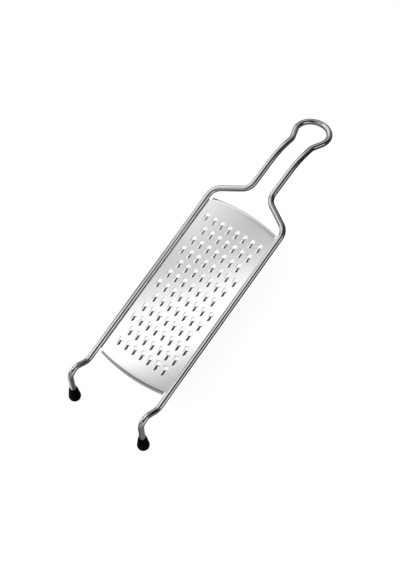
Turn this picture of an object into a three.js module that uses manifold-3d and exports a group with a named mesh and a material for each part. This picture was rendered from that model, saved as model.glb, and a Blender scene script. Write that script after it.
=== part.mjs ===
// Hand grater: a punched sheet welded between the rails of one bent wire, on two rubber feet.
// Millimetres, +Z up. +Y runs from the feet to the hanging loop, +X across the plate.
// The origin is on the table, under the middle of the grater.

import * as THREE from 'three';
import { mergeGeometries, mergeVertices } from 'three/addons/utils/BufferGeometryUtils.js';
import Module from 'manifold-3d';

// Wire
const WIRE_DIAMETER = 6.6;
const WIRE_SIDES = 12;
const BEND_STEP = THREE.MathUtils.degToRad(12);

// Rails, measured between the corners of the wire's centre line
const RAIL_SPACING = 95.5;
const RAIL_LENGTH = 230;
const RAIL_HEIGHT = 34;

// Shoulders, from the rails in to the handle
const SHOULDER_RISE = 20.4;
const SHOULDER_BEND = 15;

// Handle: nearly level at first, then bent down until the loop touches the table
const HANDLE_SPACING = 25.3;
const HANDLE_LEVEL_RUN = 52.7;
const HANDLE_DIP = 2;
const HANDLE_TAIL = 27;
const HANDLE_BEND = 75;

// Hanging loop, wider than the handle by its swell on each side
const LOOP_SWELL = 6.35;
const LOOP_CORNERS = 4;
const NECK_FLARE = THREE.MathUtils.degToRad(21);
const NECK_BEND = 12;

// Legs: a swan neck from the end of each rail up over a crest and down to the foot
const CREST_FORWARD = 19.6;
const CREST_RISE = 25.6;
const CREST_BEND = 8.9;
const LEG_BEND = 10.9;
const FOOT_FORWARD = 37.1;

// Rubber foot caps, along the leg from the middle of the ball
const CAP_BALL_RADIUS = 6.8;
const CAP_RIM_DISTANCE = 15;
const CAP_RIM_WALL = 1.35;
const CAP_RIM_ROUND = 0.7;
const CAP_BORE_DEPTH = 14;
const CAP_SOLE_DEPTH = 0.4;
const CAP_SIDES = 20;
const CAP_BALL_STEPS = 7;

// Clearance between pieces that touch on the real grater
const FIT_GAP = 0.3;

// Plate: its distance from the corners at both ends of the rails, and the turned-down lip at each end,
// which stops short of the rails
const SHEET = 0.8;
const PLATE_FAR_SETBACK = 4;
const PLATE_NEAR_SETBACK = 11.1;
const PLATE_DROP = 1;
const PLATE_END_RADIUS = 200;
const PLATE_BOW_STEPS = 12;
const LIP_REACH = 3.3;
const LIP_RADIUS = 1.2;
const LIP_TURN = THREE.MathUtils.degToRad(25);
const LIP_STEPS = 2;
const LIP_NOTCH = 1.9;

// Teeth: a round hole and a hood behind it whose mouth faces the handle
const TOOTH_ROW_PITCH = 14.74;
const TOOTH_COLUMN_PITCH = 9.97;
const TOOTH_STAGGER = 3;
const FIRST_ROW_FROM_END = 23.8;
const LAST_ROW_MARGIN = 20;
const TOOTH_SIDE_MARGIN = 8;
const HOLE_RADIUS = 2.4;
const HOLE_STEPS = 7;
const HOOD_MOUTH = 1.9;
const HOOD_TIP = 8.6;
const HOOD_HALF_WIDTH = 2.6;
const HOOD_HEIGHT = 1.5;
const HOOD_WALL = 0.7;
const HOOD_SIDES = 10;
const HOOD_ROOT = 0.3;

// How far a cutting shape reaches past what it cuts
const CUT_MARGIN = 1;

// Places that follow from the sizes above, with Y counted from the corner where each rail meets its leg
const WIRE_RADIUS = WIRE_DIAMETER / 2;
const RAIL_X = RAIL_SPACING / 2;
const HANDLE_X = HANDLE_SPACING / 2;
const SHOULDER_TOP = RAIL_LENGTH + SHOULDER_RISE;
const LOOP_RADIUS = HANDLE_X + LOOP_SWELL;
const FLARE_LENGTH = (LOOP_RADIUS * Math.cos(NECK_FLARE) - HANDLE_X) / Math.sin(NECK_FLARE);
const LOOP_CENTRE = HANDLE_TAIL + FLARE_LENGTH * Math.cos(NECK_FLARE) + LOOP_RADIUS * Math.sin(NECK_FLARE);
const SLOPE_LENGTH = LOOP_CENTRE + LOOP_RADIUS;
const SLOPE_DROP = RAIL_HEIGHT - HANDLE_DIP - WIRE_RADIUS;
const LOOP_END = SHOULDER_TOP + HANDLE_LEVEL_RUN + Math.sqrt(SLOPE_LENGTH ** 2 - SLOPE_DROP ** 2);
const FOOT_HEIGHT = CAP_BALL_RADIUS - CAP_SOLE_DEPTH;
const CREST_HEIGHT = RAIL_HEIGHT + CREST_RISE;
const LEG_LEAN = Math.atan2(FOOT_FORWARD - CREST_FORWARD, CREST_HEIGHT - FOOT_HEIGHT);
const PLATE_TOP = RAIL_HEIGHT - PLATE_DROP;
const PLATE_FAR_END = RAIL_LENGTH - PLATE_FAR_SETBACK;
const PLATE_NEAR_END = PLATE_NEAR_SETBACK;
const PLATE_LENGTH = PLATE_FAR_END - PLATE_NEAR_END;
const PLATE_MIDDLE = (PLATE_FAR_END + PLATE_NEAR_END) / 2;
const RAIL_SIDE = Math.sqrt(WIRE_RADIUS ** 2 - PLATE_DROP ** 2);
const PLATE_HALF_WIDTH = RAIL_X - RAIL_SIDE - FIT_GAP;
const TOOTH_ROWS = 1 + Math.floor((PLATE_LENGTH - FIRST_ROW_FROM_END - LAST_ROW_MARGIN) / TOOTH_ROW_PITCH);
const TOOTH_COLUMNS = 1 + Math.floor(2 * (PLATE_HALF_WIDTH - TOOTH_SIDE_MARGIN) / TOOTH_COLUMN_PITCH);
const HOOD_HOLLOW_TIP = HOOD_TIP - 2 * HOOD_WALL;
const CAP_BORE_RADIUS = WIRE_RADIUS + FIT_GAP;
const CAP_RIM_RADIUS = CAP_BORE_RADIUS + CAP_RIM_WALL;
const CAP_BORE_FLOOR = CAP_RIM_DISTANCE - CAP_BORE_DEPTH;
const MIDDLE = (LOOP_END + WIRE_RADIUS - FOOT_FORWARD - CAP_BALL_RADIUS) / 2;

const wasm = await Module();
wasm.setup();

// A closed three.js geometry as a solid that can be joined and cut
function toSolid(geometry) {
  const bare = geometry.clone();
  bare.deleteAttribute('normal');
  bare.deleteAttribute('uv');
  const merged = mergeVertices(bare);
  const vertProperties = new Float32Array(merged.attributes.position.array);
  const triVerts = new Uint32Array(merged.index.array);
  return new wasm.Manifold(new wasm.Mesh({ numProp: 3, vertProperties, triVerts }));
}

// A solid back as a flat-shaded three.js geometry
function toGeometry(solid) {
  const mesh = solid.getMesh();
  const indexed = new THREE.BufferGeometry();
  indexed.setAttribute('position', new THREE.BufferAttribute(mesh.vertProperties, 3));
  indexed.setIndex(new THREE.BufferAttribute(mesh.triVerts, 1));
  const geometry = indexed.toNonIndexed();
  geometry.computeVertexNormals();
  return geometry;
}

// One run of the wire's centre line: its point at a share of the way along, and how many steps it takes
function straightRun(from, to) {
  return { steps: 1, at: (share) => from.clone().lerp(to, share) };
}

function bendRun(centre, startArm, endArm) {
  const sweep = startArm.angleTo(endArm);
  const at = (share) => {
    const point = startArm.clone().multiplyScalar(Math.sin((1 - share) * sweep) / Math.sin(sweep));
    point.addScaledVector(endArm, Math.sin(share * sweep) / Math.sin(sweep));
    return point.add(centre);
  };
  return { steps: Math.ceil(sweep / BEND_STEP), at };
}

// The wire's centre line: straight runs between corners, with a round bend at each corner
class BentWire extends THREE.Curve {
  constructor(corners) {
    super();
    this.runs = [];
    let last = corners[0].at;
    for (let i = 1; i < corners.length - 1; i += 1) {
      const { at, radius } = corners[i];
      const back = corners[i - 1].at.clone().sub(at).normalize();
      const ahead = corners[i + 1].at.clone().sub(at).normalize();
      const half = back.angleTo(ahead) / 2;
      const start = at.clone().addScaledVector(back, radius / Math.tan(half));
      const end = at.clone().addScaledVector(ahead, radius / Math.tan(half));
      const inward = back.add(ahead).normalize();
      const centre = at.clone().addScaledVector(inward, radius / Math.sin(half));
      this.addStraight(last, start);
      this.runs.push(bendRun(centre, start.clone().sub(centre), end.clone().sub(centre)));
      last = end;
    }
    this.addStraight(last, corners[corners.length - 1].at);
    this.steps = this.runs.reduce((sum, run) => sum + run.steps, 0);
  }

  // Bends that follow each other without a straight run between them meet in a point
  addStraight(from, to) {
    const shortest = WIRE_RADIUS / 100;
    if (from.distanceTo(to) > shortest) {
      this.runs.push(straightRun(from, to));
    }
  }

  getPoint(t, target = new THREE.Vector3()) {
    let place = THREE.MathUtils.clamp(t, 0, 1) * this.steps;
    let index = 0;
    while (index < this.runs.length - 1 && place > this.runs[index].steps) {
      place -= this.runs[index].steps;
      index += 1;
    }
    const run = this.runs[index];
    return target.copy(run.at(place / run.steps));
  }

  // Stations fall where the bends need them, so a straight run takes a single step
  getUtoTmapping(u) {
    return u;
  }
}

// Corners of the right half of the wire, from the foot to just short of the loop's end
function rightCorners() {
  const crest = new THREE.Vector3(RAIL_X, -CREST_FORWARD, CREST_HEIGHT);
  const foot = new THREE.Vector3(RAIL_X, -FOOT_FORWARD, FOOT_HEIGHT);
  const upLeg = crest.clone().sub(foot).normalize();
  const wireEnd = foot.clone().addScaledVector(upLeg, CAP_BORE_FLOOR + FIT_GAP);

  const bend = new THREE.Vector3(HANDLE_X, SHOULDER_TOP + HANDLE_LEVEL_RUN, RAIL_HEIGHT - HANDLE_DIP);
  const loopEnd = new THREE.Vector3(HANDLE_X, LOOP_END, WIRE_RADIUS);
  const slope = loopEnd.clone().sub(bend).normalize();
  const onHandle = (x, along) => bend.clone().addScaledVector(slope, along).setX(x);

  const corners = [
    { at: wireEnd },
    { at: crest, radius: CREST_BEND },
    { at: new THREE.Vector3(RAIL_X, 0, RAIL_HEIGHT), radius: LEG_BEND },
    { at: new THREE.Vector3(RAIL_X, RAIL_LENGTH, RAIL_HEIGHT), radius: SHOULDER_BEND },
    { at: new THREE.Vector3(HANDLE_X, SHOULDER_TOP, RAIL_HEIGHT), radius: SHOULDER_BEND },
    { at: bend, radius: HANDLE_BEND },
    { at: onHandle(HANDLE_X, HANDLE_TAIL), radius: NECK_BEND },
  ];
  const turn = (Math.PI + 2 * NECK_FLARE) / LOOP_CORNERS;
  const reach = LOOP_RADIUS / Math.cos(turn / 2);
  for (let i = 0; i < LOOP_CORNERS / 2; i += 1) {
    const angle = -NECK_FLARE + turn * (i + 0.5);
    const at = onHandle(reach * Math.cos(angle), LOOP_CENTRE + reach * Math.sin(angle));
    corners.push({ at, radius: LOOP_RADIUS });
  }
  return corners;
}

function wireFrame() {
  const right = rightCorners();
  const mirror = new THREE.Vector3(-1, 1, 1);
  const left = right.map(({ at, radius }) => ({ at: at.clone().multiply(mirror), radius })).reverse();
  const path = new BentWire([...right, ...left]);
  const section = new THREE.Shape().absarc(0, 0, WIRE_RADIUS, 0, 2 * Math.PI);
  const geometry = new THREE.ExtrudeGeometry(section, {
    steps: path.steps,
    curveSegments: WIRE_SIDES / 2,
    extrudePath: path,
  });
  return toGeometry(toSolid(geometry));
}

// How far an end of the plate has drawn back at a distance from the middle
function endBow(across) {
  return PLATE_END_RADIUS - Math.sqrt(PLATE_END_RADIUS ** 2 - across ** 2);
}

// The flat blank with both end lips: a side profile drawn across the plate, its ends bowed outwards
function plateBlank() {
  const outer = [];
  const inner = [];
  for (let i = 0; i <= LIP_STEPS; i += 1) {
    const angle = LIP_TURN * (i / LIP_STEPS);
    const arm = new THREE.Vector2(Math.sin(angle), Math.cos(angle));
    outer.push(arm.clone().multiplyScalar(LIP_RADIUS));
    inner.unshift(arm.clone().multiplyScalar(LIP_RADIUS - SHEET));
  }
  const band = (LIP_REACH - LIP_RADIUS * Math.sin(LIP_TURN)) / Math.cos(LIP_TURN);
  const down = new THREE.Vector2(Math.cos(LIP_TURN), -Math.sin(LIP_TURN)).multiplyScalar(band);
  outer.push(outer[LIP_STEPS].clone().add(down));
  inner.unshift(inner[0].clone().add(down));
  const lipCentre = new THREE.Vector2(PLATE_LENGTH / 2 - LIP_REACH, -LIP_RADIUS);
  const far = [...outer, ...inner].map((point) => point.add(lipCentre));
  const near = far.map((p) => new THREE.Vector2(-p.x, p.y)).reverse();
  const profile = new THREE.Shape([...far, ...near]);
  const geometry = new THREE.ExtrudeGeometry(profile, {
    depth: 2 * PLATE_HALF_WIDTH,
    steps: PLATE_BOW_STEPS,
    bevelEnabled: false,
  });
  geometry.translate(0, 0, -PLATE_HALF_WIDTH);

  // The profile's own axes turn into Y and Z, and each end is drawn back towards the rails along its arc
  const place = geometry.attributes.position;
  for (let i = 0; i < place.count; i += 1) {
    const along = place.getX(i);
    const across = place.getZ(i);
    place.setXYZ(i, across, along - Math.sign(along) * endBow(across), place.getY(i));
  }
  return geometry.translate(0, PLATE_MIDDLE, PLATE_TOP);
}

// Middles of the tooth holes: each row of a group is shifted by a third of a pitch
function toothPlaces() {
  const places = [];
  for (let row = 0; row < TOOTH_ROWS; row += 1) {
    const phase = row % TOOTH_STAGGER;
    const shift = ((TOOTH_STAGGER - phase) % TOOTH_STAGGER) / TOOTH_STAGGER;
    const count = phase === 0 ? TOOTH_COLUMNS : TOOTH_COLUMNS - 1;
    for (let column = 0; column < count; column += 1) {
      const x = (column + shift - (TOOTH_COLUMNS - 1) / 2) * TOOTH_COLUMN_PITCH;
      const y = PLATE_FAR_END - FIRST_ROW_FROM_END - row * TOOTH_ROW_PITCH;
      places.push([x, y]);
    }
  }
  return places;
}

function copiesAtTeeth(tool) {
  return toSolid(mergeGeometries(toothPlaces().map(([x, y]) => tool.clone().translate(x, y, PLATE_TOP))));
}

// The hole is a drop: round under the handle side, drawn to a point under the hood
function punch() {
  const tangent = Math.acos(HOLE_RADIUS / HOOD_HOLLOW_TIP);
  const sweep = 2 * (Math.PI - tangent);
  const shape = new THREE.Shape();
  shape.moveTo(0, -HOOD_HOLLOW_TIP);
  for (let i = 0; i <= HOLE_STEPS; i += 1) {
    const angle = tangent - Math.PI / 2 + sweep * (i / HOLE_STEPS);
    shape.lineTo(HOLE_RADIUS * Math.cos(angle), HOLE_RADIUS * Math.sin(angle));
  }
  const geometry = new THREE.ExtrudeGeometry(shape, { depth: SHEET + 2 * CUT_MARGIN, bevelEnabled: false });
  return geometry.translate(0, 0, -SHEET - CUT_MARGIN);
}

// A flattened cone lying on the sheet with its point towards the feet
function hoodCone(halfWidth, height, mouth, tip) {
  const cone = new THREE.ConeGeometry(halfWidth, tip - mouth, HOOD_SIDES);
  cone.rotateX(Math.PI);
  cone.scale(1, 1, height / halfWidth);
  return cone.translate(0, -(mouth + tip) / 2, 0);
}

function hoods() {
  const outer = hoodCone(HOOD_HALF_WIDTH, HOOD_HEIGHT, HOOD_MOUTH, HOOD_TIP);
  const hollow = hoodCone(
    HOOD_HALF_WIDTH - HOOD_WALL,
    HOOD_HEIGHT - HOOD_WALL,
    HOOD_MOUTH - HOOD_ROOT,
    HOOD_HOLLOW_TIP,
  );
  const depth = HOOD_ROOT + HOOD_HEIGHT + CUT_MARGIN;
  const above = new THREE.BoxGeometry(2 * PLATE_HALF_WIDTH, PLATE_LENGTH, depth);
  above.translate(0, PLATE_MIDDLE, PLATE_TOP - HOOD_ROOT + depth / 2);
  return copiesAtTeeth(outer).subtract(copiesAtTeeth(hollow)).intersect(toSolid(above));
}

// Cuts at the plate's four corners, where the lips stop short of the rails
function lipNotches() {
  const inside = PLATE_HALF_WIDTH - LIP_NOTCH;
  const reach = LIP_REACH + endBow(inside) + CUT_MARGIN;
  const cuts = [];
  for (const side of [-1, 1]) {
    for (const [end, way] of [[PLATE_FAR_END, 1], [PLATE_NEAR_END, -1]]) {
      const cut = new THREE.BoxGeometry(LIP_NOTCH + CUT_MARGIN, reach, PLATE_TOP);
      const x = side * (inside + (LIP_NOTCH + CUT_MARGIN) / 2);
      const y = end - way * (LIP_REACH + endBow(inside) - reach / 2);
      cuts.push(cut.translate(x, y, PLATE_TOP));
    }
  }
  return toSolid(mergeGeometries(cuts));
}

function gratingPlate() {
  const blank = toSolid(plateBlank()).subtract(lipNotches());
  return toGeometry(blank.subtract(copiesAtTeeth(punch())).add(hoods()));
}

// A pear-shaped cap, turned about the leg, with a blind bore for the wire and a small flat sole
function footCap() {
  const profile = [new THREE.Vector2(0, -CAP_BALL_RADIUS)];
  const taper = Math.asin((CAP_BALL_RADIUS - CAP_RIM_RADIUS) / CAP_RIM_DISTANCE);
  for (let i = 1; i <= CAP_BALL_STEPS; i += 1) {
    const angle = -Math.PI / 2 + (Math.PI / 2 + taper) * (i / CAP_BALL_STEPS);
    profile.push(new THREE.Vector2(CAP_BALL_RADIUS * Math.cos(angle), CAP_BALL_RADIUS * Math.sin(angle)));
  }
  profile.push(new THREE.Vector2(CAP_RIM_RADIUS, CAP_RIM_DISTANCE - CAP_RIM_ROUND));
  profile.push(new THREE.Vector2(CAP_RIM_RADIUS - CAP_RIM_ROUND, CAP_RIM_DISTANCE));
  profile.push(new THREE.Vector2(CAP_BORE_RADIUS, CAP_RIM_DISTANCE));
  profile.push(new THREE.Vector2(CAP_BORE_RADIUS, CAP_BORE_FLOOR));
  profile.push(new THREE.Vector2(0, CAP_BORE_FLOOR));
  const body = new THREE.LatheGeometry(profile, CAP_SIDES);
  body.rotateX(Math.PI / 2 - LEG_LEAN);

  const width = 2 * (CAP_BALL_RADIUS + CUT_MARGIN);
  const table = new THREE.BoxGeometry(width, width, CUT_MARGIN).translate(0, 0, -FOOT_HEIGHT - CUT_MARGIN / 2);
  return toGeometry(toSolid(body).subtract(toSolid(table)));
}

function piece(name, geometry, color, roughness, metalness) {
  const mesh = new THREE.Mesh(geometry, new THREE.MeshStandardMaterial({ color, roughness, metalness }));
  mesh.name = name;
  return mesh;
}

const grater = new THREE.Group();
grater.position.y = -MIDDLE;
grater.add(piece('wire_frame', wireFrame(), 0xb9bbbd, 0.16, 1));
grater.add(piece('grating_plate', gratingPlate(), 0xcfd1d2, 0.3, 1));
for (const [side, x] of [['left', -RAIL_X], ['right', RAIL_X]]) {
  const cap = piece(`foot_cap_${side}`, footCap(), 0x0b0b0c, 0.75, 0);
  cap.position.set(x, -FOOT_FORWARD, FOOT_HEIGHT);
  grater.add(cap);
}

export default grater;
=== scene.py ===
"""Looks of a flat hand grater: a bent wire, a punched sheet and two rubber foot caps."""

import math
from typing import NamedTuple

import bpy
from mathutils import Matrix, Vector


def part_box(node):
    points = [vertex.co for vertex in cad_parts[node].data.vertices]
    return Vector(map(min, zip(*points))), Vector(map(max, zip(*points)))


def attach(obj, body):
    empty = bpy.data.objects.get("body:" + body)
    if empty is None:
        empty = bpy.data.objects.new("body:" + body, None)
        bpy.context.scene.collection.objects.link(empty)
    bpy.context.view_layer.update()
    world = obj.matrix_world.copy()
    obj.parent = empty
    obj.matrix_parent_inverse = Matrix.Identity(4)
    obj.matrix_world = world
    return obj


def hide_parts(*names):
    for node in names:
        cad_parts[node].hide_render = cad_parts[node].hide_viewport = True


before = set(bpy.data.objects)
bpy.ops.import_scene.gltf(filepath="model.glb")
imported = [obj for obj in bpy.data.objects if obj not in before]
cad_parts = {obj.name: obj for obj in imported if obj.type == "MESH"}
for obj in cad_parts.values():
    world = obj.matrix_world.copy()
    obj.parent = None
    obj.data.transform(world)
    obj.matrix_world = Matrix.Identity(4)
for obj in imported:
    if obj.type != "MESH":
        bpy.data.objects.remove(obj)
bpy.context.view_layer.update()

bl_info = {
    "name": "Hand Grater",
    "version": (1, 0, 0),
    "blender": (4, 5, 0),
    "location": "View3D > Sidebar > Grater",
    "description": "Builds a wire-framed hand grater and a plain studio to show it in",
    "category": "Add Mesh",
}

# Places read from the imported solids, in metres
SHEET_LOW, SHEET_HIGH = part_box("grating_plate")
CAP_LOW, CAP_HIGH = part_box("foot_cap_right")

BODY = "root"
MM = 0.001


def length(name, description, default):
    """A size in metres that shows in the scene's own units."""
    return bpy.props.FloatProperty(
        name=name, description=description, default=default, min=0.0, unit="LENGTH", precision=5
    )


def angle(name, description, degrees):
    """An angle given in degrees."""
    return bpy.props.FloatProperty(
        name=name, description=description, default=math.radians(degrees), subtype="ANGLE"
    )


def share(name, description, default):
    """A number from 0 to 1."""
    return bpy.props.FloatProperty(
        name=name, description=description, default=default, min=0.0, max=1.0, subtype="FACTOR"
    )


def count(name, description, default):
    """A whole number of at least 1."""
    return bpy.props.IntProperty(name=name, description=description, default=default, min=1)


def colour(name, description, default):
    """A linear colour."""
    return bpy.props.FloatVectorProperty(
        name=name, description=description, default=default, min=0.0, max=1.0, size=3, subtype="COLOR"
    )


def subgroup(kind, name, description):
    """A property group inside another one."""
    return bpy.props.PointerProperty(type=kind, name=name, description=description)


class GRATER_PG_wire(bpy.types.PropertyGroup):
    """Sizes of the bent wire, at its centre line"""

    diameter: length("Diameter", "Thickness of the wire", 6.54 * MM)
    rail_spacing: length("Rail spacing", "Between the two rails", CAP_LOW.x + CAP_HIGH.x)
    rail_length: length("Rail length", "From the leg's corner to the shoulder's corner", 230 * MM)
    rail_height: length("Rail height", "Above the table", 34 * MM)
    shoulder_rise: length("Shoulder rise", "Along the grater, from the rail in to the handle", 20.4 * MM)
    shoulder_bend: length("Shoulder bend", "Radius of both bends of a shoulder", 15 * MM)
    handle_spacing: length("Handle spacing", "Between the two wires of the handle", 25.3 * MM)
    handle_level_run: length("Level run", "Nearly level part of the handle", 52.7 * MM)
    handle_dip: length("Handle dip", "How far the level run falls", 2 * MM)
    handle_tail: length("Handle tail", "From the handle's bend to the loop's neck", 27 * MM)
    handle_bend: length("Handle bend", "Radius where the handle turns down", 75 * MM)
    loop_swell: length("Loop swell", "How much wider than the handle the loop is on each side", 6.35 * MM)
    neck_flare: angle("Neck flare", "How far the wire turns out into the loop", 21)
    neck_bend: length("Neck bend", "Radius of the loop's neck", 12 * MM)
    crest_forward: length("Crest forward", "From the rail's end to the leg's crest", 19.6 * MM)
    crest_rise: length("Crest rise", "From the rail up to the leg's crest corner", 25.6 * MM)
    crest_bend: length("Crest bend", "Radius over the crest", 8.9 * MM)
    leg_bend: length("Leg bend", "Radius where the rail turns up", 10.9 * MM)
    foot_forward: length("Foot forward", "From the rail's end to the middle of the foot", 37.1 * MM)
    sides: count("Sides", "Faces round the wire", 48)
    bend_steps: count("Bend steps", "Points along one bend", 32)


class GRATER_PG_sheet(bpy.types.PropertyGroup):
    """Sizes of the sheet between the rails"""

    thickness: length("Thickness", "Thickness of the sheet", 0.8 * MM)
    drop: length("Drop", "How far the sheet's top lies under the rail's centre", 1 * MM)
    weld_depth: length("Weld depth", "How far the sheet's edge reaches into the wire's weld", 0.4 * MM)
    end_radius: length("End radius", "Bow of both ends, seen from above", 200 * MM)
    lip_reach: length("Lip reach", "Width of the turned-down lip, seen from above", 3.4 * MM)
    lip_radius: length("Lip radius", "Bend where the lip turns down", 2.9 * MM)
    lip_turn: angle("Lip turn", "How far the lip turns down", 25)
    edge_radius: length("Edge radius", "Roll of the lip's outer edge", 0.9 * MM)
    edge_turn: angle("Edge turn", "How far the lip's outer edge rolls down", 65)
    lip_notch: length("Lip notch", "How far each end of the lip stops short of the rail", 2.2 * MM)
    lip_steps: count("Lip steps", "Faces round the lip's bend and round its edge", 6)
    end_steps: count("End steps", "Faces between the teeth and the lip", 4)


class GRATER_PG_teeth(bpy.types.PropertyGroup):
    """Sizes of the punched teeth"""

    rows: count("Rows", "Rows along the sheet", 12)
    columns: count("Columns", "Teeth in a full row", 8)
    stagger: count("Stagger", "Rows until the pattern repeats", 3)
    row_pitch: length("Row pitch", "Between two rows", 14.74 * MM)
    column_pitch: length("Column pitch", "Between two teeth of a row", 9.97 * MM)
    first_row: length("First row", "From the handle end to the first row's holes", 23.8 * MM)
    hole_radius: length("Hole radius", "Radius of the round hole", 2.4 * MM)
    hood_height: length("Hood height", "How far the hood stands up", 1.3 * MM)
    hood_half_width: length("Hood half width", "From the hood's ridge to its side", 2.2 * MM)
    hood_crest: length("Hood crest", "From the hole's middle to the highest part of the hood", 2.7 * MM)
    hood_tail: length("Hood tail", "From the hole's middle to the end of the hood", 8.8 * MM)
    clear_ahead: length("Clear ahead", "Flat sheet from the hole's middle to the next row", 4.2 * MM)
    mouth_flare: length("Mouth flare", "How much wider the hood is on each side of its mouth", 0.3 * MM)
    roll_width: length("Roll width", "Sheet round the hole that the punch drew in", 0.65 * MM)
    roll_depth: length("Roll depth", "How far the punch drew the hole's edge in", 0.22 * MM)
    side_steps: count("Side steps", "Faces along each side of the patch round a tooth", 15)
    rings: count("Rings", "Rings of faces from a hole's edge to the tooth's outline", 5)


class GRATER_PG_caps(bpy.types.PropertyGroup):
    """Sizes of the rubber foot caps, along the leg from the middle of the ball"""

    ball_radius: length("Ball radius", "Radius of the round foot", 6.75 * MM)
    rim_distance: length("Rim distance", "From the middle of the ball to the rim", 15 * MM)
    rim_wall: length("Rim wall", "Rubber round the wire at the rim", 1.65 * MM)
    rim_round: length("Rim round", "Rounding of the rim", 0.7 * MM)
    bore_depth: length("Bore depth", "How deep the wire sits", 14 * MM)
    sole_depth: length("Sole depth", "How much of the ball is flattened", 0.4 * MM)
    sides: count("Sides", "Faces round the cap", 48)
    ball_steps: count("Ball steps", "Faces from the sole to the taper", 14)
    rim_steps: count("Rim steps", "Faces round the rim's edge", 4)


class GRATER_PG_finish(bpy.types.PropertyGroup):
    """Colours and gloss of the three materials"""

    wire_colour: colour("Wire", "Polished stainless wire", (0.56, 0.56, 0.57))
    wire_roughness: share("Wire roughness", "Blur of the wire's reflections", 0.05)
    sheet_colour: colour("Sheet", "Satin stainless sheet", (0.72, 0.72, 0.73))
    sheet_roughness: share("Sheet roughness", "Blur of the sheet's reflections", 0.17)
    rubber_colour: colour("Rubber", "Black moulded rubber", (0.002, 0.002, 0.0022))
    rubber_roughness: share("Rubber roughness", "Dullness of the caps", 0.62)


class GRATER_PG_studio(bpy.types.PropertyGroup):
    """The camera and the light tent"""

    camera_place: bpy.props.FloatVectorProperty(
        name="Camera place",
        description="Where the camera stands",
        default=(0.4478, -0.1999, 1.2010),
        size=3,
        subtype="TRANSLATION",
    )
    camera_aim: bpy.props.FloatVectorProperty(
        name="Camera aim",
        description="What the camera looks at",
        default=(0.00502, -0.02782, 0.033),
        size=3,
        subtype="TRANSLATION",
    )
    camera_roll: angle("Camera roll", "Turn of the camera about its own view", -34.46)
    lens: bpy.props.FloatProperty(
        name="Lens", description="Focal length in millimetres", default=75.33, unit="CAMERA"
    )
    floor_size: length("Floor size", "Side of the pale floor", 12)
    tent_radius: length("Tent radius", "Radius of the light tent", 2.2)
    tent_glow: share("Tent glow", "Light from the tent's darkest cloth, where 1 is white", 0.04)
    card_size: length("Card size", "Side of the dark card that only the metal sees", 1.6)
    softbox_share: share("Softbox share", "How much of their light the softboxes give", 1.0)


def settings():
    """The scene's own copy of every property group."""
    return bpy.context.scene.grater


class GRATER_PG_all(bpy.types.PropertyGroup):
    """Everything that can be changed on the grater and its studio"""

    wire: subgroup(GRATER_PG_wire, "Wire", "Sizes of the wire")
    sheet: subgroup(GRATER_PG_sheet, "Sheet", "Sizes of the sheet")
    teeth: subgroup(GRATER_PG_teeth, "Teeth", "Sizes of the teeth")
    caps: subgroup(GRATER_PG_caps, "Caps", "Sizes of the foot caps")
    finish: subgroup(GRATER_PG_finish, "Finish", "Colours and gloss")
    studio: subgroup(GRATER_PG_studio, "Studio", "Camera and light")


# Node helpers

def add_node(tree, kind, inputs=(), **traits):
    """A node of a kind, with its traits set and its inputs given as values or linked from sockets."""
    node = tree.nodes.new(kind)
    for name, value in traits.items():
        setattr(node, name, value)
    for name, value in dict(inputs).items():
        if isinstance(value, bpy.types.NodeSocket):
            tree.links.new(value, node.inputs[name])
        else:
            node.inputs[name].default_value = value
    return node


def output_of(tree, kind, inputs=(), **traits):
    """The first output of a new node."""
    return add_node(tree, kind, inputs, **traits).outputs[0]


def calc(tree, operation, *values):
    """The result of a math node."""
    return output_of(tree, "ShaderNodeMath", dict(enumerate(values)), operation=operation)


def new_tree(name, inputs):
    """A geometry tree with a geometry input and the named inputs, each given with its kind."""
    tree = bpy.data.node_groups.new(name, "GeometryNodeTree")
    tree.interface.new_socket("Geometry", in_out="INPUT", socket_type="NodeSocketGeometry")
    tree.interface.new_socket("Geometry", in_out="OUTPUT", socket_type="NodeSocketGeometry")
    for label, kind in inputs.items():
        tree.interface.new_socket(label, in_out="INPUT", socket_type=f"NodeSocket{kind}")
    return tree


def finish_tree(tree, geometry, material):
    """Every tree ends in real faces with their material set."""
    real = output_of(tree, "GeometryNodeRealizeInstances", {"Geometry": geometry})
    painted = output_of(tree, "GeometryNodeSetMaterial", {"Geometry": real, "Material": material})
    add_node(tree, "NodeGroupOutput", {"Geometry": painted})


def run_tree(piece, tree, values):
    """Adds a tree to a piece as a modifier with its inputs set."""
    modifier = piece.modifiers.new(tree.name, "NODES")
    modifier.node_group = tree
    for socket in tree.interface.items_tree:
        if socket.name in values:
            modifier[socket.identifier] = values[socket.name]


# Mesh helpers

def new_piece(name, points, edges, faces):
    """A mesh object at the origin."""
    mesh = bpy.data.meshes.new(name)
    mesh.from_pydata(points, edges, faces)
    mesh.update()
    piece = bpy.data.objects.new(name, mesh)
    bpy.context.scene.collection.objects.link(piece)
    return piece


def make_plain(piece):
    """Turns what a piece's modifiers make into its own mesh."""
    depsgraph = bpy.context.evaluated_depsgraph_get()
    evaluated = piece.evaluated_get(depsgraph)
    made = bpy.data.meshes.new_from_object(evaluated, preserve_all_data_layers=True, depsgraph=depsgraph)
    drawn = piece.data
    piece.modifiers.clear()
    piece.data = made
    bpy.data.meshes.remove(drawn)
    made.name = piece.name


# How far the faces at an edge may turn before the edge shows
WIRE_SHARPEST = math.radians(60)
SHEET_SHARPEST = math.radians(50)
CAP_SHARPEST = math.radians(40)


def shade(piece, sharpest):
    """Smooth shading that breaks at edges sharper than an angle."""
    mesh = piece.data
    mesh.polygons.foreach_set("use_smooth", [True] * len(mesh.polygons))
    mesh.set_sharp_from_angle(angle=sharpest)


def hand_over(piece, slot, *nodes):
    """Ties a finished piece to the body and hides the solids that it stands for."""
    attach(piece, BODY)
    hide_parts(*nodes)


# Materials

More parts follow.
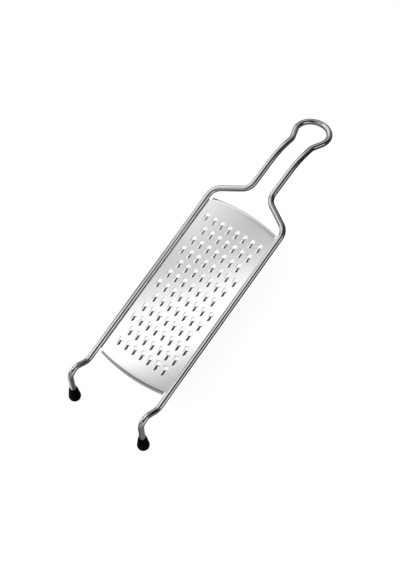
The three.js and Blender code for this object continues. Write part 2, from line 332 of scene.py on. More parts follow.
# Cells of noise in a metre, along each axis where they differ
WIRE_LINES = (2600, 2600, 14)
WIRE_SMUDGES = 55
SHEET_GRAIN = (3800, 60, 3800)
SHEET_CLOUDS = 28
RUBBER_GRAIN = 2400
RUBBER_SCUFFS = 260
# Depth of each fine relief
WIRE_RELIEF = 0.004 * MM
SHEET_RELIEF = 0.002 * MM
RUBBER_RELIEF = 0.03 * MM
# Darkest and lightest share of each base colour
WIRE_TINTS = (0.93, 1.07)
SHEET_TINTS = (0.96, 1.04)
RUBBER_TINTS = (0.6, 1.5)
# Smoothest and dullest share of the wire's roughness
WIRE_DULLNESS = (0.8, 1.2)
# How much the roughness of the sheet and of the rubber varies
SHEET_SPREAD = 0.06
RUBBER_SPREAD = 0.16
# Share of the sheet's roughness that is left on the ground edges of the teeth
GROUND_DULLNESS = 0.6
# How much light the rubber's skin throws back
RUBBER_SHEEN = 0.05


def new_material(name):
    """A node material without any nodes, and its tree."""
    material = bpy.data.materials.new(name)
    material.use_nodes = True
    material.node_tree.nodes.clear()
    return material, material.node_tree


def surfaced(material, shader):
    """A material with a shader as its surface."""
    add_node(material.node_tree, "ShaderNodeOutputMaterial", {"Surface": shader})
    return material


def coated(material, looks):
    """A material whose surface is one principled shader with the named looks."""
    return surfaced(material, output_of(material.node_tree, "ShaderNodeBsdfPrincipled", looks))


def own_place(tree):
    """Coordinates in a piece's own frame."""
    return add_node(tree, "ShaderNodeTexCoord").outputs["Object"]


def noise(tree, place, scale, detail=3):
    """A smooth noise value between 0 and 1."""
    node = add_node(tree, "ShaderNodeTexNoise", {"Vector": place, "Scale": scale, "Detail": detail})
    return node.outputs["Fac"]


def between(tree, value, low, high):
    """A value from 0 to 1 spread between two numbers."""
    return output_of(tree, "ShaderNodeMapRange", {"Value": value, "To Min": low, "To Max": high})


def tinted(tree, value, base, low, high):
    """A base colour made a little darker or lighter by a value."""
    lightness = between(tree, value, low, high)
    return output_of(tree, "ShaderNodeVectorMath", {0: tuple(base), "Scale": lightness}, operation="SCALE")


def bump(tree, height, depth):
    """A surface normal with fine relief of a depth in metres."""
    return output_of(tree, "ShaderNodeBump", {"Height": height, "Distance": depth})


def stretched(tree, place, scale):
    """Coordinates that run faster along some axes than along others."""
    return output_of(tree, "ShaderNodeMapping", {"Vector": place, "Scale": scale})


def polished_wire(finish):
    """Drawn stainless wire, polished: faint lines run along it."""
    material, tree = new_material("polished_wire")
    section = add_node(tree, "ShaderNodeAttribute", attribute_name="section").outputs["Vector"]
    along = add_node(tree, "ShaderNodeAttribute", attribute_name="along").outputs["Fac"]
    run = output_of(tree, "ShaderNodeCombineXYZ", {"Z": along})
    place = output_of(tree, "ShaderNodeVectorMath", {0: section, 1: run}, operation="ADD")
    lines = noise(tree, stretched(tree, place, WIRE_LINES), scale=1, detail=2)
    smudges = noise(tree, place, WIRE_SMUDGES)
    smoothest, dullest = (finish.wire_roughness * part for part in WIRE_DULLNESS)
    looks = {
        "Base Color": tinted(tree, smudges, finish.wire_colour, *WIRE_TINTS),
        "Metallic": 1.0,
        "Roughness": between(tree, smudges, smoothest, dullest),
        "Normal": bump(tree, lines, WIRE_RELIEF),
    }
    return coated(material, looks)


def satin_sheet(finish):
    """Satin stainless sheet: a fine grain along the grater, and bright ground edges on the teeth."""
    material, tree = new_material("satin_sheet")
    place = own_place(tree)
    grain = noise(tree, stretched(tree, place, SHEET_GRAIN), scale=1, detail=2)
    clouds = noise(tree, place, SHEET_CLOUDS)
    ground = add_node(tree, "ShaderNodeAttribute", attribute_name="ground_edge").outputs["Fac"]
    worn = between(tree, ground, finish.sheet_roughness, finish.sheet_roughness * GROUND_DULLNESS)
    spread = between(tree, clouds, -SHEET_SPREAD / 2, SHEET_SPREAD / 2)
    looks = {
        "Base Color": tinted(tree, clouds, finish.sheet_colour, *SHEET_TINTS),
        "Metallic": 1.0,
        "Roughness": calc(tree, "ADD", worn, spread),
        "Normal": bump(tree, grain, SHEET_RELIEF),
    }
    return coated(material, looks)


def moulded_rubber(finish):
    """Black moulded rubber: a matte skin with a fine grain and a few paler scuffs."""
    material, tree = new_material("moulded_rubber")
    place = own_place(tree)
    grain = noise(tree, place, RUBBER_GRAIN, detail=4)
    scuffs = noise(tree, place, RUBBER_SCUFFS)
    smoothest = finish.rubber_roughness - RUBBER_SPREAD / 2
    looks = {
        "Base Color": tinted(tree, scuffs, finish.rubber_colour, *RUBBER_TINTS),
        "Roughness": between(tree, scuffs, smoothest, smoothest + RUBBER_SPREAD),
        "Specular IOR Level": RUBBER_SHEEN,
        "Normal": bump(tree, grain, RUBBER_RELIEF),
    }
    return coated(material, looks)


# Wire

# The loop is four bends, each a hair under the loop's radius so that neighbours keep apart
LOOP_CORNERS = 4
LOOP_EASE = 0.998


def foot_middle(wire, caps):
    """Middle of the right foot's ball."""
    return Vector((wire.rail_spacing / 2, CAP_LOW.y + caps.ball_radius, caps.ball_radius - caps.sole_depth))


def wire_corners(wire, caps):
    """Corners of the whole centre line from foot to foot, each with the radius of its bend."""
    rail_x = wire.rail_spacing / 2
    handle_x = wire.handle_spacing / 2
    leg_y = CAP_LOW.y + caps.ball_radius + wire.foot_forward
    crest = Vector((rail_x, leg_y - wire.crest_forward, wire.rail_height + wire.crest_rise))
    foot = foot_middle(wire, caps)
    wire_end = foot + (crest - foot).normalized() * (caps.rim_distance - caps.bore_depth)

    loop_radius = handle_x + wire.loop_swell
    flare = wire.neck_flare
    flare_length = (loop_radius * math.cos(flare) - handle_x) / math.sin(flare)
    loop_centre = wire.handle_tail + flare_length * math.cos(flare) + loop_radius * math.sin(flare)
    shoulder_y = leg_y + wire.rail_length + wire.shoulder_rise
    bend = Vector((handle_x, shoulder_y + wire.handle_level_run, wire.rail_height - wire.handle_dip))
    fall = bend.z - wire.diameter / 2
    reach = loop_centre + loop_radius
    slope = Vector((0, math.sqrt(reach**2 - fall**2), -fall)) / reach

    def on_slope(x, run):
        place = bend + slope * run
        return Vector((x, place.y, place.z))

    right = [
        (wire_end, 0),
        (crest, wire.crest_bend),
        (Vector((rail_x, leg_y, wire.rail_height)), wire.leg_bend),
        (Vector((rail_x, leg_y + wire.rail_length, wire.rail_height)), wire.shoulder_bend),
        (Vector((handle_x, shoulder_y, wire.rail_height)), wire.shoulder_bend),
        (bend, wire.handle_bend),
        (on_slope(handle_x, wire.handle_tail), wire.neck_bend),
    ]
    turn = (math.pi + 2 * flare) / LOOP_CORNERS
    corner_reach = loop_radius / math.cos(turn / 2)
    for i in range(LOOP_CORNERS // 2):
        swing = turn * (i + 0.5) - flare
        place = on_slope(corner_reach * math.cos(swing), loop_centre + corner_reach * math.sin(swing))
        right.append((place, loop_radius * LOOP_EASE))
    left = [(Vector((-place.x, place.y, place.z)), radius) for place, radius in reversed(right)]
    return right + left


def bent_wire_tree():
    """A round wire along a line of corners, bent by each corner's own radius."""
    inputs = {"Radius": "Float", "Sides": "Int", "Bend steps": "Int", "Material": "Material"}
    tree = new_tree("bent_wire", inputs)
    given = add_node(tree, "NodeGroupInput").outputs
    line = output_of(tree, "GeometryNodeMeshToCurve", {"Mesh": given["Geometry"]})
    bend = output_of(tree, "GeometryNodeInputNamedAttribute", {"Name": "bend"}, data_type="FLOAT")
    bends = {"Curve": line, "Count": given["Bend steps"], "Radius": bend}
    bent = output_of(tree, "GeometryNodeFilletCurve", bends, mode="POLY")
    run = add_node(tree, "GeometryNodeSplineParameter").outputs["Length"]
    measured = output_of(
        tree,
        "GeometryNodeStoreNamedAttribute",
        {"Geometry": bent, "Name": "along", "Value": run},
        data_type="FLOAT",
        domain="POINT",
    )
    ring = output_of(
        tree, "GeometryNodeCurvePrimitiveCircle", {"Resolution": given["Sides"], "Radius": given["Radius"]}
    )
    place = output_of(tree, "GeometryNodeInputPosition")
    section = output_of(
        tree,
        "GeometryNodeStoreNamedAttribute",
        {"Geometry": ring, "Name": "section", "Value": place},
        data_type="FLOAT_VECTOR",
        domain="POINT",
    )
    tube = output_of(
        tree, "GeometryNodeCurveToMesh", {"Curve": measured, "Profile Curve": section, "Fill Caps": True}
    )
    finish_tree(tree, tube, given["Material"])
    return tree


class GRATER_OT_wire(bpy.types.Operator):
    """Bend the wire frame: legs, rails, shoulders, handle and hanging loop"""

    bl_idname = "grater.wire"
    bl_label = "Bend Wire Frame"

    def execute(self, context):
        grater = settings()
        wire = grater.wire
        corners = wire_corners(wire, grater.caps)
        edges = [(i, i + 1) for i in range(len(corners) - 1)]
        piece = new_piece("bent_wire_frame", [place for place, radius in corners], edges, [])
        bends = piece.data.attributes.new("bend", "FLOAT", "POINT")
        bends.data.foreach_set("value", [radius for place, radius in corners])
        values = {
            "Radius": wire.diameter / 2,
            "Sides": wire.sides,
            "Bend steps": wire.bend_steps,
            "Material": polished_wire(grater.finish),
        }
        run_tree(piece, bent_wire_tree(), values)
        make_plain(piece)
        shade(piece, WIRE_SHARPEST)
        hand_over(piece, "wire", "wire_frame")
        return {"FINISHED"}


# Sheet

# How full the hood's section is: smaller is more flat-topped
HOOD_FULLNESS = 0.75
# How blunt the hood's tail is, seen from above
TAIL_BLUNTNESS = 4
# Faces gather towards the tooth's outline by this power
RING_CROWDING = 1.6
# Width of the ring of flat sheet right round a tooth
COLLAR = 0.25 * MM
# How finely the hood's foot is searched for
OUTLINE_STEP = 0.02 * MM
# Points closer than this become one
MERGE_DISTANCE = 0.01 * MM
# Share of a step that the sheet's edge keeps from the last point of the patches
EDGE_GAP = 0.1


def smooth(value):
    """A smooth rise from 0 to 1 as a value goes from 0 to 1."""
    held = min(max(value, 0.0), 1.0)
    return held * held * (3 - 2 * held)


def tail_share(teeth, y):
    """How far a place is on the way from the hood's crest to its tail, from 0 to 1."""
    return min(max(-y - teeth.hood_crest, 0.0) / (teeth.hood_tail - teeth.hood_crest), 1.0)


def hood_side(teeth, y):
    """Half width of the hood: flared at its mouth, straight, and round at its tail."""
    flare = teeth.mouth_flare * (1 - smooth((-y - teeth.hole_radius / 2) / teeth.hole_radius))
    return (teeth.hood_half_width + flare) * math.sqrt(1 - tail_share(teeth, y) ** TAIL_BLUNTNESS)


def hood_rise(teeth, x, y):
    """Height over the flat sheet, with the hole's middle at the origin and the handle at +Y."""
    rise = smooth(-y / teeth.hood_crest)
    side = max(hood_side(teeth, y), COLLAR)
    section = max(1 - (x / side) ** 2, 0.0) ** HOOD_FULLNESS
    away = math.hypot(x, y)
    beyond = min((away - teeth.hole_radius) / teeth.roll_width, 1.0)
    roll = teeth.roll_depth * (1 - beyond) ** 2 * (1 - rise) * abs(x) / away
    return teeth.hood_height * rise * (1 - tail_share(teeth, y)) * section - roll


def inside_hood(teeth, spot):
    """Whether a place lies within the hood's foot."""
    return -teeth.hood_tail < spot.y < 0 and abs(spot.x) < hood_side(teeth, spot.y)


def tooth_outline(teeth, way):
    """Distance from the hole's middle to the edge of its roll, or to the hood's foot beyond that."""
    reach = teeth.hole_radius + teeth.roll_width
    while inside_hood(teeth, way * reach):
        reach += OUTLINE_STEP
    return reach


def tooth_patch(teeth):
    """One tooth in a rectangle of sheet: rings of faces from the hole's edge out to the patch's border."""
    half = teeth.column_pitch / 2
    ahead = teeth.clear_ahead
    behind = teeth.clear_ahead - teeth.row_pitch
    corners = [Vector(spot) for spot in ((half, ahead), (-half, ahead), (-half, behind), (half, behind))]
    border = []
    for i, corner in enumerate(corners):
        following = corners[(i + 1) % len(corners)]
        border += [corner.lerp(following, step / teeth.side_steps) for step in range(teeth.side_steps)]

    ways = []
    for i in range(len(border)):
        turn = math.pi / 4 + 2 * math.pi * i / len(border)
        ways.append(Vector((math.cos(turn), math.sin(turn))))
    outlines = [tooth_outline(teeth, way) for way in ways]
    gaps = [outline - teeth.hole_radius for outline in outlines]
    loops = []
    for ring in range(teeth.rings + 1):
        outward = 1 - (1 - ring / teeth.rings) ** RING_CROWDING
        loops.append([way * (teeth.hole_radius + gap * outward) for way, gap in zip(ways, gaps)])
    loops.append([way * (outline + COLLAR) for way, outline in zip(ways, outlines)])
    loops.append(border)

    points = []
    edge_share = []
    for i, loop in enumerate(loops):
        for spot in loop:
            rise = hood_rise(teeth, spot.x, spot.y)
            points.append((spot.x, spot.y, rise))
            edge_share.append(max(rise, 0.0) / teeth.hood_height if i == 0 else 0.0)

    around = len(border)
    faces = []
    for ring in range(len(loops) - 1):
        for i in range(around):
            after = (i + 1) % around
            near = ring * around
            far = near + around
            faces.append((near + i, far + i, far + after, near + after))
    patch = new_piece("tooth_patch", points, [], faces)
    ground = patch.data.attributes.new("ground_edge", "FLOAT", "POINT")
    ground.data.foreach_set("value", edge_share)
    return patch


def lattice(teeth, half_width):
    """Places across the sheet where the borders of all patches have their points."""
    step = teeth.column_pitch / teeth.side_steps
    last = math.floor(half_width / step - EDGE_GAP)
    return [-half_width, *[step * i for i in range(-last, last + 1)], half_width]


def row_span(teeth, row):
    """Where a row's patches begin and end across the sheet."""
    phase = row % teeth.stagger
    shift = ((teeth.stagger - phase) % teeth.stagger) / teeth.stagger
    held = teeth.columns if phase == 0 else teeth.columns - 1
    begin = (shift - teeth.columns / 2) * teeth.column_pitch
    return begin, begin + held * teeth.column_pitch


def arc_section(radius, start_turn, end_turn, steps):
    """Distances out and falls round a bend, from its start."""
    section = []
    for step in range(steps + 1):
        turn = start_turn + (end_turn - start_turn) * step / steps
        out = radius * (math.sin(turn) - math.sin(start_turn))
        section.append((out, radius * (math.cos(start_turn) - math.cos(turn))))
    return section


def lip_section(sheet):
    """Distances out and falls across a lip: round its bend, down the flat band and over the rolled edge."""
    bend = arc_section(sheet.lip_radius, 0, sheet.lip_turn, sheet.lip_steps)
    edge = arc_section(sheet.edge_radius, sheet.lip_turn, sheet.edge_turn, sheet.lip_steps)
    band = sheet.lip_reach - bend[-1][0] - edge[-1][0]
    edge_out = bend[-1][0] + band
    edge_fall = bend[-1][1] + band * math.tan(sheet.lip_turn)
    return bend + [(edge_out + out, edge_fall + fall) for out, fall in edge]


def sheet_top(sheet):
    """Height of the sheet's flat top."""
    return settings().wire.rail_height - sheet.drop


def end_bow(sheet, x):
    """How far an end has drawn back at a distance from the middle."""
    return sheet.end_radius - math.sqrt(sheet.end_radius**2 - x**2)


def sheet_blank(sheet, teeth, half_width, first_y):
    """The sheet without its teeth: strips beside the rows, and both bowed ends with their lips."""
    across = lattice(teeth, half_width)
    points = []
    faces = []

    def strip(rows_of_points):
        """Faces between lines of points that all run across the same way."""
        start = len(points)
        width = len(rows_of_points[0])
        for line in rows_of_points:
            points.extend(line)
        for i in range(len(rows_of_points) - 1):
            for j in range(width - 1):
                here = start + i * width + j
                faces.append((here, here + width, here + width + 1, here + 1))

    top = sheet_top(sheet)
    slack = teeth.column_pitch / teeth.side_steps / 2
    for row in range(teeth.rows):
        begin, end = row_span(teeth, row)
        head = first_y - row * teeth.row_pitch + teeth.clear_ahead
        for side in ([x for x in across if x < begin + slack], [x for x in across if x > end - slack]):
            lines = []
            for step in range(teeth.side_steps + 1):
                y = head - teeth.row_pitch * step / teeth.side_steps
                lines.append([(x, y, top) for x in side])
            strip(lines)

    field_head = first_y + teeth.clear_ahead
    field_foot = field_head - teeth.rows * teeth.row_pitch
    lip_half = half_width - sheet.weld_depth - sheet.lip_notch
    lip_across = [x for x in across if abs(x) < lip_half]
    for field_edge, middle, way in ((field_head, SHEET_HIGH.y, 1), (field_foot, SHEET_LOW.y, -1)):
        flat_lines = []
        for step in range(sheet.end_steps + 1):
            line = []
            for x in across:
                flat_end = middle - way * (end_bow(sheet, x) + sheet.lip_reach)
                line.append((x, field_edge + (flat_end - field_edge) * step / sheet.end_steps, top))
            flat_lines.append(line)
        strip(flat_lines[::-way])
        lip_lines = []
        for out, fall in lip_section(sheet):
            line = []
            for x in lip_across:
                y = middle - way * (end_bow(sheet, x) + sheet.lip_reach - out)
                line.append((x, y, top - fall))
            lip_lines.append(line)
        strip(lip_lines[::-way])
    return new_piece("punched_sheet", points, [], faces)


def tooth_field_tree():
    """Teeth in staggered rows, joined to the blank that they are punched in."""
    inputs = {
        "Tooth": "Object",
        "Rows": "Int",
        "Columns": "Int",
        "Stagger": "Int",
        "Row pitch": "Float",
        "Column pitch": "Float",
        "First row": "Float",
        "Height": "Float",
        "Material": "Material",
    }
    tree = new_tree("tooth_field", inputs)
    given = add_node(tree, "NodeGroupInput").outputs
    index = output_of(tree, "GeometryNodeInputIndex")
    row = calc(tree, "FLOOR", calc(tree, "DIVIDE", index, given["Columns"]))
    column = calc(tree, "MODULO", index, given["Columns"])
    phase = calc(tree, "MODULO", row, given["Stagger"])
    steps = calc(tree, "MODULO", calc(tree, "SUBTRACT", given["Stagger"], phase), given["Stagger"])
    shift = calc(tree, "DIVIDE", steps, given["Stagger"])
    last = calc(tree, "SUBTRACT", given["Columns"], 1.0)
    from_middle = calc(tree, "SUBTRACT", calc(tree, "ADD", column, shift), calc(tree, "DIVIDE", last, 2.0))
    x = calc(tree, "MULTIPLY", from_middle, given["Column pitch"])
    y = calc(tree, "SUBTRACT", given["First row"], calc(tree, "MULTIPLY", row, given["Row pitch"]))
    place = output_of(tree, "ShaderNodeCombineXYZ", {"X": x, "Y": y, "Z": given["Height"]})
    places = calc(tree, "MULTIPLY", given["Rows"], given["Columns"])
    spots = output_of(tree, "GeometryNodePoints", {"Count": places, "Position": place})
    shifted = calc(tree, "GREATER_THAN", phase, 0.5)
    outermost = calc(tree, "GREATER_THAN", column, calc(tree, "SUBTRACT", last, 0.5))
    kept = calc(tree, "SUBTRACT", 1.0, calc(tree, "MULTIPLY", shifted, outermost))
    tooth = add_node(tree, "GeometryNodeObjectInfo", {"Object": given["Tooth"]}).outputs["Geometry"]
    copies = output_of(
        tree, "GeometryNodeInstanceOnPoints", {"Points": spots, "Selection": kept, "Instance": tooth}
    )
    real = output_of(tree, "GeometryNodeRealizeInstances", {"Geometry": copies})
    joined = add_node(tree, "GeometryNodeJoinGeometry")
    for part in (given["Geometry"], real):
        tree.links.new(part, joined.inputs[0])
    whole = output_of(
        tree, "GeometryNodeMergeByDistance", {"Geometry": joined.outputs[0], "Distance": MERGE_DISTANCE}
    )
    finish_tree(tree, whole, given["Material"])
    return tree


class GRATER_OT_sheet(bpy.types.Operator):
    """Punch the grating sheet: staggered teeth in a sheet with bowed, turned-down ends"""

    bl_idname = "grater.sheet"
    bl_label = "Punch Grating Sheet"

    def execute(self, context):
        grater = settings()
        sheet = grater.sheet
        teeth = grater.teeth
        wire_radius = grater.wire.diameter / 2
        wire_side = math.sqrt(wire_radius**2 - sheet.drop**2)
        half_width = grater.wire.rail_spacing / 2 - wire_side + sheet.weld_depth
        first_y = SHEET_HIGH.y - teeth.first_row
        patch = tooth_patch(teeth)
        piece = sheet_blank(sheet, teeth, half_width, first_y)
        values = {
            "Tooth": patch,
            "Rows": teeth.rows,
            "Columns": teeth.columns,
            "Stagger": teeth.stagger,
            "Row pitch": teeth.row_pitch,
            "Column pitch": teeth.column_pitch,
            "First row": first_y,
            "Height": sheet_top(sheet),
            "Material": satin_sheet(grater.finish),
        }
        run_tree(piece, tooth_field_tree(), values)
        wall = piece.modifiers.new("sheet_thickness", "SOLIDIFY")
        wall.thickness = sheet.thickness
        wall.offset = -1
        make_plain(piece)
        bpy.data.objects.remove(patch)
        shade(piece, SHEET_SHARPEST)
        hand_over(piece, "sheet", "grating_plate")
        return {"FINISHED"}


# Foot caps

def cap_profile(caps, bore_radius):
    """Half section of a cap: distances from the leg's axis and up the leg from the ball's middle."""
    rim_radius = bore_radius + caps.rim_wall
    taper = math.asin((caps.ball_radius - rim_radius) / caps.rim_distance)
    profile = []
    for i in range(1, caps.ball_steps + 1):
        turn = (math.pi / 2 + taper) * i / caps.ball_steps - math.pi / 2
        profile.append((caps.ball_radius * math.cos(turn), caps.ball_radius * math.sin(turn)))
    for i in range(caps.rim_steps + 1):
        turn = math.pi / 2 * i / caps.rim_steps
        out = rim_radius - caps.rim_round * (1 - math.cos(turn))
        profile.append((out, caps.rim_distance - caps.rim_round * (1 - math.sin(turn))))
    profile.append((bore_radius, caps.rim_distance))
    profile.append((bore_radius, caps.rim_distance - caps.bore_depth))
    return profile


def turned(profile, sides):
    """A closed body turned about Z from a half section, with a point on the axis at each end."""
    first_out, first_up = profile[0]
    points = [(0, 0, first_up - first_out**2 / (2 * abs(first_up)))]
    for out, up in profile:
        for i in range(sides):
            turn = 2 * math.pi * i / sides
            points.append((out * math.cos(turn), out * math.sin(turn), up))
    points.append((0, 0, profile[-1][1]))
    faces = []
    for i in range(sides):
        after = (i + 1) % sides
        faces.append((0, 1 + after, 1 + i))
        for ring in range(len(profile) - 1):
            here = 1 + ring * sides
            faces.append((here + i, here + after, here + sides + after, here + sides + i))
        top = 1 + (len(profile) - 1) * sides
        faces.append((top + i, top + after, len(points) - 1))
    return points, faces


class GRATER_OT_caps(bpy.types.Operator):
    """Mould the two rubber foot caps on the ends of the legs"""

    bl_idname = "grater.caps"
    bl_label = "Mould Foot Caps"

    def execute(self, context):
        grater = settings()
        wire = grater.wire
        caps = grater.caps
        foot = foot_middle(wire, caps)
        crest_height = wire.rail_height + wire.crest_rise
        lean = math.atan2(wire.foot_forward - wire.crest_forward, crest_height - foot.z)
        points, faces = turned(cap_profile(caps, wire.diameter / 2), caps.sides)
        rubber = moulded_rubber(grater.finish)
        for name, side in (("left", -1), ("right", 1)):
            stand = Matrix.Translation((side * foot.x, foot.y, foot.z)) @ Matrix.Rotation(-lean, 4, "X")
            placed = [stand @ Vector(point) for point in points]
            for point in placed:
                point.z = max(point.z, 0.0)
            piece = new_piece(f"rubber_cap_{name}", placed, [], faces)
            piece.data.materials.append(rubber)
            shade(piece, CAP_SHARPEST)
            hand_over(piece, "rubber_cap", f"foot_cap_{name}")
        return {"FINISHED"}


# Studio

class TentPanel(NamedTuple):
    """A bright panel of the tent, between degrees from straight up towards +X and towards +Y."""

    name: str
    x_span: tuple
    y_span: tuple
    soft_edge: float
    light: float


class Softbox(NamedTuple):
    """A softbox over the sheet, with fades from dark to bright in shares of half its width."""

    name: str
    place: tuple
    turn_degrees: float
    length: float
    width: float
    light: float
    fade_in: tuple
    fade_out: tuple


TENT_PANELS = (
    TentPanel("left", (-119, -24), (11.5, 65), 8, 0.95),
    TentPanel("left far", (-26, 2), (50, 72), 5, 0.45),
    TentPanel("left roof", (-108, 10), (-2, 75), 5, 0.24),
    TentPanel("overhead", (-34, 2), (-9, 16), 6, 0.42),
    TentPanel("left front", (-104, -28), (-42, 2), 6, 1.10),
    TentPanel("front", (-5, 27), (-69, -25), 7, 0.45),
    TentPanel("front low", (-40, 0), (-90, -44), 5, 0.42),
    TentPanel("right", (61, 81), (-56, 36), 18, 1.80),
    TentPanel("right front", (30, 60), (-80, -34), 6, 0.40),
    TentPanel("far", (-30, 70), (84, 125), 8, 0.50),
)
SOFTBOXES = (
    Softbox("strip", (-0.115, -0.058, 0.333), 50, 0.46, 0.2, 1.40, (-0.95, 0.41), (0.78, -0.02)),
    Softbox("corner", (-0.240, 0.200, 0.333), 0, 0.25, 0.4, 0.30, (-1.0, -0.4), (1.0, 0.4)),
)
# Share of a softbox's half length that is fully lit
SOFTBOX_CORE = 0.6
# Faces round the tent and from its rim to its top
TENT_SIDES = 48
TENT_STEPS = 16
# The floor's own white, the white that a shadow takes away, and its tone to soft light
FLOOR_GLOW = 0.9
FLOOR_SHADED = 0.3
FLOOR_TONE = 0.8
# The card of painted shade, which stands in for the shadowed floor that the metal sees: its height over the
# floor, its tone, and how dense it is on each side
CARD_HEIGHT = 0.2 * MM
SHADE_CARD_TONE = 0.03
CARD_LEFT = 0.72
CARD_RIGHT = 1.0
CARD_BETWEEN_LEGS = 0.88
CARD_LEFT_OF_LEGS = 0.34
CARD_RIGHT_OF_LEGS = 0.78
# Where the card's density changes, along X and along Y
CARD_SIDE_FADE = (-0.05, 0.06)
CARD_FRONT_FADE = (-0.10, -0.14)
CARD_LEFT_LEG_FADE = (-0.048, -0.038)
CARD_RIGHT_LEG_FADE = (0.043, 0.052)


def grey(tone):
    """A grey without any tint."""
    return (tone, tone, tone, 1)


def pale_floor():
    """A white table: white to the camera and in the metal, with a faint shadow, and matte to soft light."""
    material, tree = new_material("pale_floor")
    path = add_node(tree, "ShaderNodeLightPath").outputs
    mirrored = calc(tree, "MAXIMUM", path["Is Glossy Ray"], path["Is Transmission Ray"])
    seen = calc(tree, "MAXIMUM", path["Is Camera Ray"], mirrored)
    matte = output_of(tree, "ShaderNodeBsdfDiffuse", {"Color": grey(FLOOR_TONE)})
    shadow = output_of(tree, "ShaderNodeBsdfDiffuse", {"Color": grey(FLOOR_SHADED)})
    white = output_of(tree, "ShaderNodeEmission", {"Strength": FLOOR_GLOW})
    table = output_of(tree, "ShaderNodeAddShader", {0: shadow, 1: white})
    mixed = output_of(tree, "ShaderNodeMixShader", {"Fac": seen, 1: matte, 2: table})
    return surfaced(material, mixed)


def fade(tree, value, start, end, low, high):
    """A smooth change from one number to another as a value goes from start to end."""
    return output_of(
        tree,
        "ShaderNodeMapRange",
        {"Value": value, "From Min": start, "From Max": end, "To Min": low, "To Max": high},
        interpolation_type="SMOOTHSTEP",
    )


def dark_card():
    """Painted shade: a sheer black card under the grater for the shadowed floor, densest to its right, for
    dark edges in the metal.
    """
    material, tree = new_material("dark_card")
    axes = add_node(tree, "ShaderNodeSeparateXYZ", {0: own_place(tree)}).outputs
    side = fade(tree, axes["X"], *CARD_SIDE_FADE, CARD_LEFT, CARD_RIGHT)
    front = fade(tree, axes["Y"], *CARD_FRONT_FADE, 0.0, 1.0)
    left_leg = fade(tree, axes["X"], *CARD_LEFT_LEG_FADE, CARD_LEFT_OF_LEGS, CARD_BETWEEN_LEGS)
    right_leg = fade(tree, axes["X"], *CARD_RIGHT_LEG_FADE, CARD_BETWEEN_LEGS, CARD_RIGHT_OF_LEGS)
    legs = calc(tree, "MINIMUM", left_leg, right_leg)
    change = calc(tree, "SUBTRACT", legs, side)
    density = calc(tree, "MULTIPLY_ADD", front, change, side)
    clear = output_of(tree, "ShaderNodeBsdfTransparent")
    # Painted shade: the card's near-black tone stands in for the shadowed floor in the metal's reflections
    black = output_of(tree, "ShaderNodeBsdfDiffuse", {"Color": grey(SHADE_CARD_TONE)})
    card = output_of(tree, "ShaderNodeMixShader", {"Fac": density, 1: clear, 2: black})
    return surfaced(material, card)


def soft_step(tree, value, edge, soft, levels):
    """A smooth step from one level to another over an edge, in the tent's flattened coordinates."""
    start, end = (math.tan(math.radians(edge + way * soft) / 2) for way in (-1, 1))
    return fade(tree, value, start, end, *levels)


def tent_cloth(glow):
    """The tent's cloth: dim, with bright panels that fade out at their edges."""
    material, tree = new_material("tent_cloth")
    ray = output_of(tree, "ShaderNodeVectorMath", {0: own_place(tree)}, operation="NORMALIZE")
    axes = add_node(tree, "ShaderNodeSeparateXYZ", {0: ray}).outputs
    lift = calc(tree, "ADD", axes["Z"], 1.0)
    light = glow
    for panel in TENT_PANELS:
        part = panel.light
        for axis, span in (("X", panel.x_span), ("Y", panel.y_span)):
            flat = calc(tree, "DIVIDE", axes[axis], lift)
            for edge, levels in zip(span, ((0.0, 1.0), (1.0, 0.0))):
                step = soft_step(tree, flat, edge, panel.soft_edge, levels)
                part = calc(tree, "MULTIPLY", part, step)
        light = calc(tree, "ADD", light, part)
    cloth = output_of(tree, "ShaderNodeEmission", {"Strength": light})
    return surfaced(material, cloth)


def softbox_cloth(box, share_given):
    """Cloth of a softbox that fades out to its edges, so that it has no outline in the metal."""
    material, tree = new_material(f"{box.name}_cloth")
    here = own_place(tree)
    offset = output_of(tree, "ShaderNodeVectorMath", {0: here, 1: box.place}, operation="SUBTRACT")
    turn = math.radians(box.turn_degrees)
    along = (math.cos(turn), math.sin(turn), 0)
    across = (math.sin(turn), -math.cos(turn), 0)
    products = [
        add_node(tree, "ShaderNodeVectorMath", {0: offset, 1: axis}, operation="DOT_PRODUCT")
        for axis in (along, across)
    ]
    run, side = (product.outputs["Value"] for product in products)
    half = box.length / 2
    away = calc(tree, "ABSOLUTE", run)
    glow = fade(tree, away, half * SOFTBOX_CORE, half, box.light * share_given, 0.0)
    edge = box.width / 2
    for dark, bright in (box.fade_in, box.fade_out):
        ramp = fade(tree, side, edge * dark, edge * bright, 0.0, 1.0)
        glow = calc(tree, "MULTIPLY", glow, ramp)
    lit = output_of(tree, "ShaderNodeEmission", {"Strength": glow})
    clear = output_of(tree, "ShaderNodeBsdfTransparent")
    cloth = output_of(tree, "ShaderNodeAddShader", {0: lit, 1: clear})
    return surfaced(material, cloth)


def level_rectangle(width, depth, height=0.0):
    """Corners of a level rectangle round the Z axis."""
    return [(x * width / 2, y * depth / 2, height) for x, y in ((-1, -1), (1, -1), (1, 1), (-1, 1))]


def stage_piece(name, points, faces, material, seen):
    """A part of the studio, which isn't part of the grater."""
    piece = new_piece(name, points, [], faces)
    piece.data.materials.append(material)
    piece.visible_camera = seen
    return piece


def tent_dome(radius):
    """Half a globe, open at the bottom."""
    points = []
    for step in range(TENT_STEPS):
        height = math.pi / 2 * step / TENT_STEPS
        flat = radius * math.cos(height)
        for i in range(TENT_SIDES):
            turn = 2 * math.pi * i / TENT_SIDES
            points.append((flat * math.cos(turn), flat * math.sin(turn), radius * math.sin(height)))
    points.append((0, 0, radius))
    faces = []
    for i in range(TENT_SIDES):
        after = (i + 1) % TENT_SIDES
        for step in range(TENT_STEPS - 1):
            near = step * TENT_SIDES
            far = near + TENT_SIDES
            faces.append((near + i, far + i, far + after, near + after))
        last = (TENT_STEPS - 1) * TENT_SIDES
        faces.append((last + i, len(points) - 1, last + after))
    return points, faces


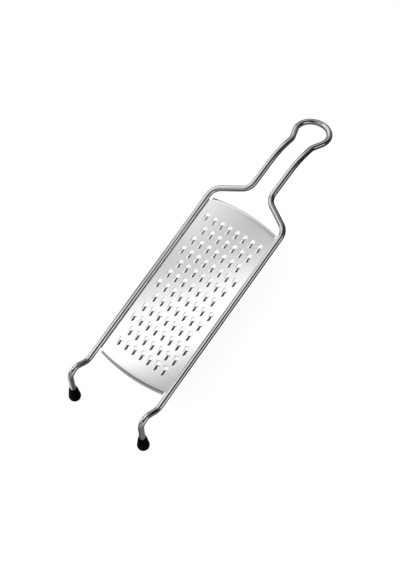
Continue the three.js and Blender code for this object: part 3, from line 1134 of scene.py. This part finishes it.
class GRATER_OT_studio(bpy.types.Operator):
    """Set up the floor, the card of painted shade, the light tent, the softboxes and the camera"""

    bl_idname = "grater.studio"
    bl_label = "Set Up Studio"

    def execute(self, context):
        studio = settings().studio
        scene = context.scene
        upward = [(0, 1, 2, 3)]
        downward = [(0, 3, 2, 1)]
        floor = level_rectangle(studio.floor_size, studio.floor_size)
        stage_piece("floor", floor, upward, pale_floor(), True)
        # The card of painted shade, seen only in the metal, stands in for the shadowed floor
        under = level_rectangle(studio.card_size, studio.card_size, CARD_HEIGHT)
        card = stage_piece("dark_card", under, upward, dark_card(), False)
        card.visible_diffuse = False
        card.visible_shadow = False
        points, faces = tent_dome(studio.tent_radius)
        stage_piece("light_tent", points, faces, tent_cloth(studio.tent_glow), False)
        for box in SOFTBOXES:
            stand = Matrix.Translation(box.place) @ Matrix.Rotation(math.radians(box.turn_degrees), 4, "Z")
            corners = [stand @ Vector(corner) for corner in level_rectangle(box.length, box.width)]
            cloth = softbox_cloth(box, studio.softbox_share)
            stage_piece(f"{box.name}_softbox", corners, downward, cloth, False)

        world = bpy.data.worlds.new("white_room")
        world.use_nodes = True
        world.node_tree.nodes["Background"].inputs["Color"].default_value = grey(1)
        scene.world = world
        scene.view_settings.view_transform = "Standard"

        camera = bpy.data.objects.new("camera", bpy.data.cameras.new("camera"))
        scene.collection.objects.link(camera)
        camera.data.lens = studio.lens
        camera.data.dof.use_dof = False
        place = Vector(studio.camera_place)
        level = (Vector(studio.camera_aim) - place).to_track_quat("-Z", "Y").to_matrix().to_4x4()
        roll = Matrix.Rotation(studio.camera_roll, 4, "Z")
        camera.matrix_world = Matrix.Translation(place) @ level @ roll
        scene.camera = camera
        return {"FINISHED"}


PIECE_OPERATORS = (GRATER_OT_wire, GRATER_OT_sheet, GRATER_OT_caps, GRATER_OT_studio)


class GRATER_PT_sidebar(bpy.types.Panel):
    """Buttons for the pieces, and the sizes and finishes behind them"""

    bl_idname = "GRATER_PT_sidebar"
    bl_label = "Hand Grater"
    bl_space_type = "VIEW_3D"
    bl_region_type = "UI"
    bl_category = "Grater"

    def draw(self, context):
        for operator in PIECE_OPERATORS:
            self.layout.operator(operator.bl_idname)
        for name in ("wire", "sheet", "teeth", "caps", "finish", "studio"):
            group = getattr(context.scene.grater, name)
            box = self.layout.box()
            box.label(text=name.capitalize())
            for key in group.__annotations__:
                box.prop(group, key)


CLASSES = (
    GRATER_PG_wire,
    GRATER_PG_sheet,
    GRATER_PG_teeth,
    GRATER_PG_caps,
    GRATER_PG_finish,
    GRATER_PG_studio,
    GRATER_PG_all,
    *PIECE_OPERATORS,
    GRATER_PT_sidebar,
)


def register():
    for each in CLASSES:
        bpy.utils.register_class(each)
    bpy.types.Scene.grater = bpy.props.PointerProperty(
        type=GRATER_PG_all, name="Grater", description="Sizes, finishes and studio of the grater"
    )


def unregister():
    del bpy.types.Scene.grater
    for each in reversed(CLASSES):
        bpy.utils.unregister_class(each)


def main():
    register()
    bpy.ops.grater.wire()
    bpy.ops.grater.sheet()
    bpy.ops.grater.caps()
    bpy.ops.grater.studio()


if __name__ == "__main__":
    main()
